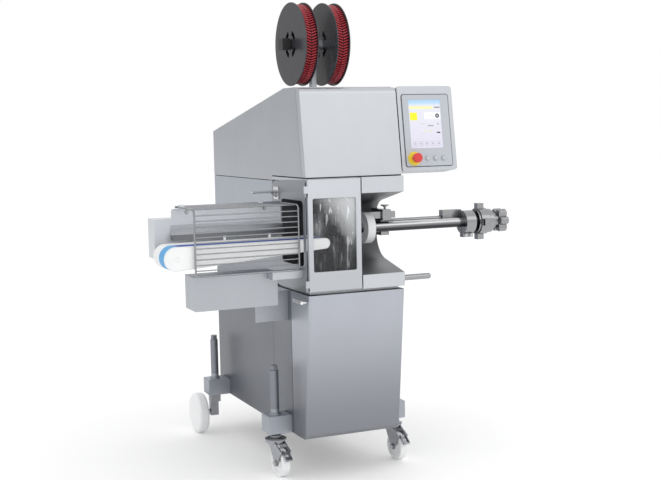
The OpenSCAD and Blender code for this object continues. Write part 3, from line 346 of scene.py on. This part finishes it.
picture = tint(ease(up, 0.0, 1.0), (0.74, 0.72, 0.84), (0.78, 0.79, 0.86))
picture = tint(ease(up, 0.86, 0.97), picture, (0.42, 0.66, 0.90))
for colour, marks in (
        ((0.90, 0.88, 0.45), patch(0.02, 0.76, 0.815, 0.87)),
        ((0.12, 0.12, 0.14), patch(0.80, 0.98, 0.835, 0.855)),
        ((0.93, 0.90, 0.02), patch(0.03, 0.25, 0.58, 0.74)),
        ((0.95, 0.95, 0.97), patch(0.48, 0.98, 0.60, 0.74)),
        ((0.05, 0.06, 0.10), dot(0.88, 0.67, 0.062)),
        ((0.55, 0.56, 0.60), dot(0.88, 0.67, 0.026)),
        ((0.62, 0.62, 0.66), patch(0.56, 0.76, 0.66, 0.672)),
        ((0.62, 0.62, 0.66), patch(0.30, 0.50, 0.50, 0.512)),
        ((0.30, 0.30, 0.34), patch(0.56, 0.74, 0.455, 0.475)),
        ((0.55, 0.55, 0.60), dot(0.89, 0.50, 0.035)),
        ((0.74, 0.80, 0.30), patch(0.58, 0.70, 0.345, 0.362)),
        ((0.85, 0.80, 0.25), patch(0.46, 0.50, 0.345, 0.375)),
        ((0.06, 0.06, 0.08), patch(0.83, 0.94, 0.305, 0.335)),
        ((0.66, 0.66, 0.70), patch(0.30, 0.46, 0.29, 0.302)),
        ((0.70, 0.70, 0.76), patch(0.06, 0.94, 0.195, 0.203))):
    picture = tint(marks, picture, colour)
key_count, key_w, key_pitch = 5, 0.14, 0.185
for i in range(key_count):
    u = 0.06 + key_pitch * i
    frame_line = patch(u, u + key_w, 0.04, 0.15) - patch(u + 0.015, u + key_w - 0.015, 0.052, 0.138)
    picture = tint(frame_line, picture, (0.58, 0.58, 0.66))
    picture = tint(dot(u + key_w / 2, 0.095, 0.03), picture, (0.48, 0.49, 0.56))
feed(screen_shader, Base_Color=picture, Emission_Color=picture)
coat(screen_mat, "panel_screen")


def moulded(name, tone, rough, coat_weight=0.0, scale=420.0):
    """Moulded plastic: a fine spark-eroded grain and a little uneven gloss."""
    mat, shader, place = finish(name, Coat_Weight=coat_weight)
    grain = noise(place, scale)
    darker, lighter = [c * 0.94 for c in tone], [min(c * 1.05, 1.0) for c in tone]
    feed(shader, Base_Color=tint(noise(place, 18.0), darker, lighter),
         Roughness=rough + 0.16 * (grain - 0.5), Normal=relief(place, grain, 0.1, 0.0002, 0.0012))
    return mat


coat(moulded("button_red", (0.72, 0.035, 0.03), 0.3, 0.3), "estop_button")
coat(moulded("collar_yellow", (0.86, 0.70, 0.05), 0.4), "estop_collar")


def turned_steel(name, tone, rough, along):
    """Turned, polished steel: rings round the turning axis, soft stains, and painted shade in its corners.
    """
    mat, shader, place = finish(name, Metallic=1.0)
    rings = noise(place, 60.0, 4.0, [14.0 if along == i else 0.35 for i in range(3)])
    stain = noise(place, 12.0, 2.0)
    # An occlusion node darkens the corners: painted shade.
    corner_shade = place.node("AmbientOcclusion", {"samples": 6}, {"Distance": 0.04}, 1)
    colour = tint(0.6 * rings + 0.4 * stain, [c * 0.80 for c in tone], tone)
    feed(shader, Base_Color=tint(ease(corner_shade, 0.15, 0.85), [c * 0.22 for c in tone], colour),
         Roughness=rough + 0.16 * (rings - 0.5) + 0.1 * (stain - 0.5),
         Normal=relief(place, rings, 0.06, 0.0004, 0.0012))
    return mat


button_steel = turned_steel("button_steel", (0.60, 0.61, 0.625), 0.22, 1)
coat(button_steel, "button_left", "button_middle", "button_right")

shadow_line_w, shadow_line_h = 0.003, 0.003
lean = math.radians(8.0)
film_foot = 0.032
film_low, film_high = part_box("panel_bezel")
head_low, head_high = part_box("head_cover")


def leaning(x, out, height):
    """Point on the panel's leaning front: out of the film, and up the slope from the film's foot."""
    slope = film_foot + height
    return Vector((x, head_low.y - out * math.cos(lean) + slope * math.sin(lean),
                   head_low.z + out * math.sin(lean) + slope * math.cos(lean)))


def shown(name, mesh, mat, body):
    """Links a made mesh into the scene, with its finish and the body that carries it."""
    piece = bpy.data.objects.new(name, mesh)
    scene.collection.objects.link(piece)
    mesh.materials.append(mat)
    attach(piece, body)
    return piece


def swept(name, path, half_w, half_h, frames):
    """Closed bar with a small chamfered section along a closed path."""
    section = [(-1, -1), (1, -1), (1, 0.4), (0.5, 1), (-0.5, 1), (-1, 0.4)]
    made = bmesh.new()
    loops = [[made.verts.new(p + u * (a * half_w) + n * (b * half_h)) for a, b in section]
             for p, (u, n) in zip(path, frames)]
    for i, loop in enumerate(loops):
        after = loops[(i + 1) % len(loops)]
        for j in range(len(section)):
            k = (j + 1) % len(section)
            made.faces.new((loop[j], loop[k], after[k], after[j]))
    bmesh.ops.recalc_face_normals(made, faces=made.faces)
    mesh = bpy.data.meshes.new(name)
    made.to_mesh(mesh)
    made.free()
    mesh.set_sharp_from_angle(angle=math.radians(40))
    return mesh


film_w, film_h, film_r = film_high.x - film_low.x, 0.312, 0.008
film_corners = [(film_w - film_r, film_r, -90), (film_w - film_r, film_h - film_r, 0),
                (film_r, film_h - film_r, 90), (film_r, film_r, 180)]
rim_r = film_r + shadow_line_w / 2 + 0.0002
corner_steps = 6
rim_path, rim_frames = [], []
for cx, cz, start in film_corners:
    for step in range(corner_steps + 1):
        turn = math.radians(start + 90 / corner_steps * step)
        out_dir = Vector((math.cos(turn), math.sin(turn) * math.sin(lean), math.sin(turn) * math.cos(lean)))
        rim_path.append(leaning(film_low.x + cx, shadow_line_h / 2, cz) + out_dir * rim_r)
        rim_frames.append((out_dir, Vector((0.0, -math.cos(lean), math.sin(lean)))))
# The dark cord round the film stands in for the shadow line there: painted shade.
shadow_line_mat = moulded("shadow_line_grey", (0.085, 0.09, 0.10), 0.55)
shown("panel_shadow_line", swept("panel_shadow_line", rim_path, shadow_line_w / 2, shadow_line_h / 2, rim_frames),
      shadow_line_mat, "base")

# Gap shade: extruded black cords pressed into the gaps under the head, behind its front sheet and beside
# the control panel, as painted shade in these gaps. Only a dark line of each shows.

gap_shade_mat = moulded("gap_shade_black", (0.012, 0.012, 0.014), 0.6)


def ring_gap_shade(name, corners, across_dir, half_w, half_h):
    """Dark cord along a closed run of corners, mitred, lying in the plane square to across_dir; painted
    shade in a gap.
    """
    frames = []
    for i, spot in enumerate(corners):
        before = (spot - corners[i - 1]).normalized().cross(across_dir)
        after = (corners[(i + 1) % len(corners)] - spot).normalized().cross(across_dir)
        frames.append((across_dir, (before + after) / (1 + before.dot(after))))
    shown(name, swept(name, corners, half_w, half_h, frames), gap_shade_mat, "base")


inset, depth, gap_shade_run, play = 0.0025, 0.003, 0.37, 0.0003
left_x, right_x = head_low.x + inset + depth, head_high.x - inset - depth
front_y, rear_y = head_low.y + inset + depth, head_low.y + gap_shade_run
gap_shade_z = (chamber_high.z + head_low.z) / 2
ring_gap_shade("head_gap_shade", [Vector(c + (gap_shade_z,)) for c in (
    (left_x, front_y), (right_x, front_y), (right_x, rear_y), (left_x, rear_y))],
    Vector((0.0, 0.0, 1.0)), (head_low.z - chamber_high.z) / 2 - play, depth)

seam_in, closer, seam_cord = -0.0401, 0.0012, (0.0012, 0.0014)
seam_foot = 0.004 - film_foot
seam_top = (head_high.z - head_low.z) / math.cos(lean) - film_foot - 0.006
ring_gap_shade("front_gap_shade", [leaning(x, seam_in, h) for x, h in (
    (left_x - closer, seam_foot), (right_x + closer, seam_foot),
    (right_x + closer, seam_top), (left_x - closer, seam_top))],
    Vector((0.0, math.cos(lean), -math.sin(lean))), *seam_cord)

gap_x, gap_front, gap_back, gap_top = head_high.x + 0.0025, -0.006, -0.014, 0.325
gap_cord = (0.0022, 0.003)
ring_gap_shade("panel_gap_shade", [leaning(gap_x, out, h) for out, h in (
    (gap_front, 0.0), (gap_back, 0.0), (gap_back, gap_top), (gap_front, gap_top))],
    Vector((1.0, 0.0, 0.0)), *gap_cord)

# Clip spools: black moulded spools on a steel spindle over the roof. Each is wound full of aluminium clips
# on a strip, lacquered red and black, lying in two slanted rows.

spool_mat = moulded("spool_black", (0.034, 0.034, 0.042), 0.30, 0.15, 160.0)
coat(spool_mat, "spool_left", "spool_right")
coat(moulded("knob_black", (0.018, 0.018, 0.020), 0.42), "spool_knob")
coat(head_steel, "spool_stand")

clip_mat, clip_shader, clip_at = finish("clip_red", Metallic=0.35, Coat_Weight=0.4)
clip_wear = noise(clip_at, 120.0, 3.0)
feed(clip_shader, Base_Color=tint(clip_wear, (0.26, 0.010, 0.020), (0.48, 0.03, 0.046)),
     Roughness=0.22 + 0.25 * clip_wear)
strip_mat = moulded("strip_black", (0.02, 0.018, 0.02), 0.5)


def clip_coil(name, node, body):
    """A ring of two rows of slanted clips, standing on the strip that they are wound with."""
    clips, clip_h, strip_h, row_gap, end_gap = 88, 0.011, 0.04, 0.0012, 0.0008
    low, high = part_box(node)
    middle = (low + high) / 2
    outer = (high.z - low.z) / 2
    inner = outer - clip_h
    made = bmesh.new()

    def spot(x, radius, turn):
        return made.verts.new((x, middle.y + radius * math.cos(turn), middle.z + radius * math.sin(turn)))

    rounds = 2 * clips
    strip = ((low.x, inner - strip_h), (low.x, inner), (high.x, inner), (high.x, inner - strip_h))
    rings = [[spot(x, r, 2 * math.pi * i / rounds) for i in range(rounds)] for x, r in strip]
    for a, b in zip(rings, rings[1:] + rings[:1]):
        for i in range(rounds):
            j = (i + 1) % rounds
            made.faces.new((a[i], a[j], b[j], b[i]))
    pitch_turn = 2 * math.pi / clips
    slant = -0.75 * pitch_turn
    half = (high.x - low.x) / 2
    # Half of a clip's outline: share of the pitch, and radius
    half_clip = ((-0.34, inner - 0.001), (-0.30, outer - 0.0028), (-0.12, outer))
    profile = half_clip + tuple((-share, radius) for share, radius in half_clip[::-1])
    for row in (-1, 1):
        ends_x = ((middle.x + row * row_gap, 0.0), (middle.x + row * (half - end_gap), slant))
        for i in range(clips):
            ends = [[spot(x, radius, (i + share) * pitch_turn + shift) for share, radius in profile]
                    for x, shift in ends_x]
            skins = [(ends[0][j - 1], ends[0][j], ends[1][j], ends[1][j - 1]) for j in range(len(profile))]
            for corners in skins + ends:
                made.faces.new(corners).material_index = 1
    bmesh.ops.recalc_face_normals(made, faces=made.faces)
    mesh = bpy.data.meshes.new(name)
    made.to_mesh(mesh)
    made.free()
    piece = shown(name, mesh, strip_mat, body)
    mesh.materials.append(clip_mat)
    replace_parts(piece, node)


clip_coil("clips_left", "winding_left", "spool_left_body")
clip_coil("clips_right", "winding_right", "spool_right_body")

# Discharge belt: a white endless belt with a blue stripe along its front, over a white plastic bed and
# drum, in front of a folded sheet housing, with a box, a drip tray and a guide sheet with a folded edge.

sheet_steel = blasted_steel("sheet_steel", (0.465, 0.485, 0.515))
housing_steel = blasted_steel("housing_steel", (0.68, 0.70, 0.73))
guide_low, guide_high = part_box("belt_guide")
edge, fold_h = Vector((0.01, 0.01, 0.01)), 0.012
lip = (guide_low - edge, Vector((guide_high.x, guide_high.y, guide_low.z + fold_h)) + edge, 0.35)
guide_steel = blasted_steel("guide_steel", (0.50, 0.515, 0.54), rough=0.36, dark_boxes=(lip,))
tray_steel = blasted_steel("tray_steel", (0.56, 0.575, 0.60))
coat(sheet_steel, "conveyor_box")
coat(housing_steel, "conveyor_housing")
coat(guide_steel, "belt_guide")
coat(tray_steel, "drip_tray")

belt_mat, belt_shader, belt_at = finish("belt_cloth")
belt_x, belt_y = axes(belt_at)[:2]
belt_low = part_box("conveyor_belt")[0]
stripe_y, stripe_half, stripe_edge = belt_low.y + 0.047, 0.036, 0.003
stripe = 1 - ease(abs(belt_y - stripe_y), stripe_half, stripe_half + stripe_edge)
# The stripe is painted light where it wraps the drum and dark on the top run: painted light and shade.
drum_wrap_light = ease(belt_x, belt_low.x + 0.045, belt_low.x + 0.075)
stripe_blue_and_light = tint(drum_wrap_light, (0.13, 0.42, 0.78), (0.03, 0.10, 0.42))
smear = noise(belt_at, 22.0, 3.0)
belt_white = tint(smear, (0.90, 0.91, 0.92), (0.95, 0.955, 0.96))
weave = noise(belt_at, 1100.0, 1.0)
feed(belt_shader, Base_Color=tint(stripe, belt_white, stripe_blue_and_light), Roughness=0.5 + 0.2 * smear,
     Normal=relief(belt_at, weave, 0.25, 0.0003))
coat(belt_mat, "conveyor_belt")


def machined_white(name, tone, scratch):
    """Milled white plastic, waxy, with fine cutter marks and a few grey scuffs."""
    mat, shader, place = finish(name)
    scuff = noise(place, 16.0, 4.0)
    marks = noise(place, 240.0, 2.0, (1.0, 1.0, 3.0))
    feed(shader, Base_Color=tint(ease(scuff, 0.50, 0.85), tone, [c * scratch for c in tone]),
         Roughness=0.42 + 0.2 * (marks - 0.5), Normal=relief(place, marks, 0.08, 0.0003, 0.002))
    return mat


bed_white = machined_white("bed_white", (0.955, 0.96, 0.965), 0.93)
coat(bed_white, "belt_bed")
coat(machined_white("drum_white", (0.93, 0.935, 0.94), 0.95), "tail_drum")

# Wire guard: drawn round steel wires welded on a bent frame wire. Its back rod turns in two clips, each
# held on the back plate by a hexagon bolt.

wire_mat = turned_steel("guard_wire", (0.34, 0.35, 0.365), 0.22, 0)
coat(wire_mat, "wire_guard")
bolt_mat = turned_steel("bolt_steel", (0.58, 0.585, 0.60), 0.25, 1)


def hexagon(turn, flat):
    """Distance of a hexagon's edge from its middle, with half its width over flats given."""
    sixth = math.pi / 3
    return flat / math.cos((turn % sixth) - sixth / 2)


def bolt(name, spot, axis, radius, body):
    """Hexagon bolt head on a washer, chamfered on top, looking along the axis."""
    steps = 48
    # Each ring: its share of the radius, its height in radii, and whether it is round
    rings = [(1.5, 0.0, True), (1.5, 0.16, True), (1.0, 0.16, False), (1.0, 0.72, False),
             (0.88, 0.86, True)]
    made = bmesh.new()
    loops = []
    for share, height, is_round in rings:
        loop = []
        for i in range(steps):
            turn = 2 * math.pi * i / steps
            out = share * radius if is_round else share * hexagon(turn, radius * 0.95)
            loop.append(made.verts.new((out * math.cos(turn), out * math.sin(turn), height * radius)))
        loops.append(loop)
    for low, high in zip(loops, loops[1:]):
        for i in range(steps):
            j = (i + 1) % steps
            made.faces.new((low[i], low[j], high[j], high[i]))
    made.faces.new(loops[-1])
    made.faces.new(loops[0][::-1])
    made.transform(Matrix.Translation(spot) @ Vector(axis).to_track_quat("Z", "Y").to_matrix().to_4x4())
    bmesh.ops.recalc_face_normals(made, faces=made.faces)
    mesh = bpy.data.meshes.new(name)
    made.to_mesh(mesh)
    made.free()
    mesh.set_sharp_from_angle(angle=math.radians(25))
    shown(name, mesh, bolt_mat, body)


guard_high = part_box("wire_guard")[1]
clip_y, clip_z, clip_bolt_r = guard_high.y + 0.005, guard_high.z - 0.030, 0.006
clip_places = (-0.656, -0.304)
for i, x in enumerate(clip_places):
    bolt(f"clip_bolt_{i}", (x, clip_y, clip_z), (0, -1, 0), clip_bolt_r, "base")

# Rods: the holding rod on the body's left side, the docking bar on its right, and the bar handle of the
# lower cover, all turned from bright round steel and welded or screwed to their sheets.

rod_mat = turned_steel("rod_steel", (0.70, 0.71, 0.72), 0.20, 0)
coat(rod_mat, "side_rod")
coat(turned_steel("bar_steel", (0.40, 0.405, 0.415), 0.26, 0), "docking_bar")
coat(turned_steel("handle_steel", (0.90, 0.90, 0.91), 0.28, 1), "cover_handle")

# Filling horn: a polished tube in a saddle, with the white casing brake, a clamp to the guide rod,
# a winged union ring and a star nut. The tube's lower half is painted dark, a painted reflection.

horn_low, horn_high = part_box("filling_horn")
horn_z = (horn_low.z + horn_high.z) / 2
horn_mat, horn_shader, horn_at = finish("horn_steel", Metallic=1.0)
horn_rings = noise(horn_at, 60.0, 4.0, (12.0, 0.35, 0.35))
# Dark below the tube's middle, light above: a painted reflection.
horn_reflection_mask = ease(axes(horn_at)[2], horn_z - 0.010, horn_z + 0.016)
horn_reflection_and_rings = horn_reflection_mask * (0.75 + 0.4 * horn_rings)
feed(horn_shader, Base_Color=tint(horn_reflection_and_rings, (0.05, 0.05, 0.055), (0.60, 0.60, 0.61)),
     Roughness=0.10 + 0.16 * horn_rings, Normal=relief(horn_at, horn_rings, 0.05, 0.0003, 0.001))
fitting_mat = turned_steel("fitting_steel", (0.37, 0.375, 0.385), 0.18, 0)
coat(horn_mat, "filling_horn")
coat(fitting_mat, "horn_support", "horn_clamp", "union_ring", "star_nut", "brake_carrier", "brake_knob")
coat(machined_white("brake_white", (0.84, 0.845, 0.86), 0.93), "casing_brake")

star_low, star_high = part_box("star_nut")
star_mid = (star_low + star_high) / 2
star_turns, lobes, star_r, valley = 120, 6, 0.0565, 0.015
# Each ring: how far along, its radius or its share of the star's outline, and whether it is a star
star_rings = [(0.0, 0.0335, False), (0.004, 0.0395, False), (0.015, 0.0395, False), (0.019, 0.034, False),
              (0.034, 0.034, False), (0.034, 0.92, True), (0.038, 1.0, True), (0.072, 1.0, True),
              (0.076, 0.92, True), (0.076, 0.0235, False), (0.0, 0.0235, False)]


def lobed(turn):
    """Radius of a star with six broad lobes and narrow valleys."""
    return star_r - valley * ((1 - math.cos(lobes * turn)) / 2) ** 2


star = bmesh.new()
star_loops = []
for along, size, is_star in star_rings:
    loop = []
    for i in range(star_turns):
        turn = 2 * math.pi * i / star_turns
        out = size * lobed(turn) if is_star else size
        loop.append(star.verts.new((star_low.x + along, star_mid.y + out * math.cos(turn),
                                    star_mid.z + out * math.sin(turn))))
    star_loops.append(loop)
for near, far in zip(star_loops, star_loops[1:] + star_loops[:1]):
    for i in range(star_turns):
        j = (i + 1) % star_turns
        star.faces.new((near[i], near[j], far[j], far[i]))
bmesh.ops.recalc_face_normals(star, faces=star.faces)
star_mesh = bpy.data.meshes.new("star_grip")
star.to_mesh(star_mesh)
star.free()
star_mesh.set_sharp_from_angle(angle=math.radians(32))
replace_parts(shown("star_grip", star_mesh, fitting_mat, "star"), "star_nut")

clamp_low, clamp_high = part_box("horn_clamp")
jaw_y, jaw_z, clamp_bolt_r = (horn_low.y + horn_high.y) / 2 - 0.016, clamp_low.z + 0.010, 0.007
bolts_back = (0.038, 0.012)
for i, back in enumerate(bolts_back):
    bolt(f"clamp_bolt_{i}", (clamp_high.x - back, jaw_y, jaw_z), (0, -1, 0), clamp_bolt_r, "base")

# Running gear: four telescoping legs, two braked castors in front and two fixed wheels behind. The wheels
# are solid white plastic, and hexagon nuts hold the castors' axles in their pressed forks.

leg_mat = turned_steel("leg_steel", (0.38, 0.39, 0.415), 0.3, 2)
fork_mat = turned_steel("fork_steel", (0.46, 0.475, 0.51), 0.24, 2)
wheel_white = machined_white("wheel_white", (0.955, 0.96, 0.965), 0.95)
coat(leg_mat, "leg_front_left", "leg_front_right", "leg_rear_left", "leg_rear_right")
coat(fork_mat, "fork_left", "fork_right", "pedal_left", "pedal_right")
coat(wheel_white, "castor_wheel_left", "castor_wheel_right", "rear_wheel_left", "rear_wheel_right")
axle_turn, nut_out, nut_r = math.radians(5.0), 0.025, 0.0105
axle_dir = Vector((math.cos(axle_turn), math.sin(axle_turn), 0.0))
for side_name in ("left", "right"):
    wheel_low, wheel_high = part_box("castor_wheel_" + side_name)
    for end_name, way in (("inner", 1), ("outer", -1)):
        bolt(f"axle_nut_{side_name}_{end_name}", (wheel_low + wheel_high) / 2 + axle_dir * (nut_out * way),
             axle_dir * way, nut_r, side_name + "_fork")
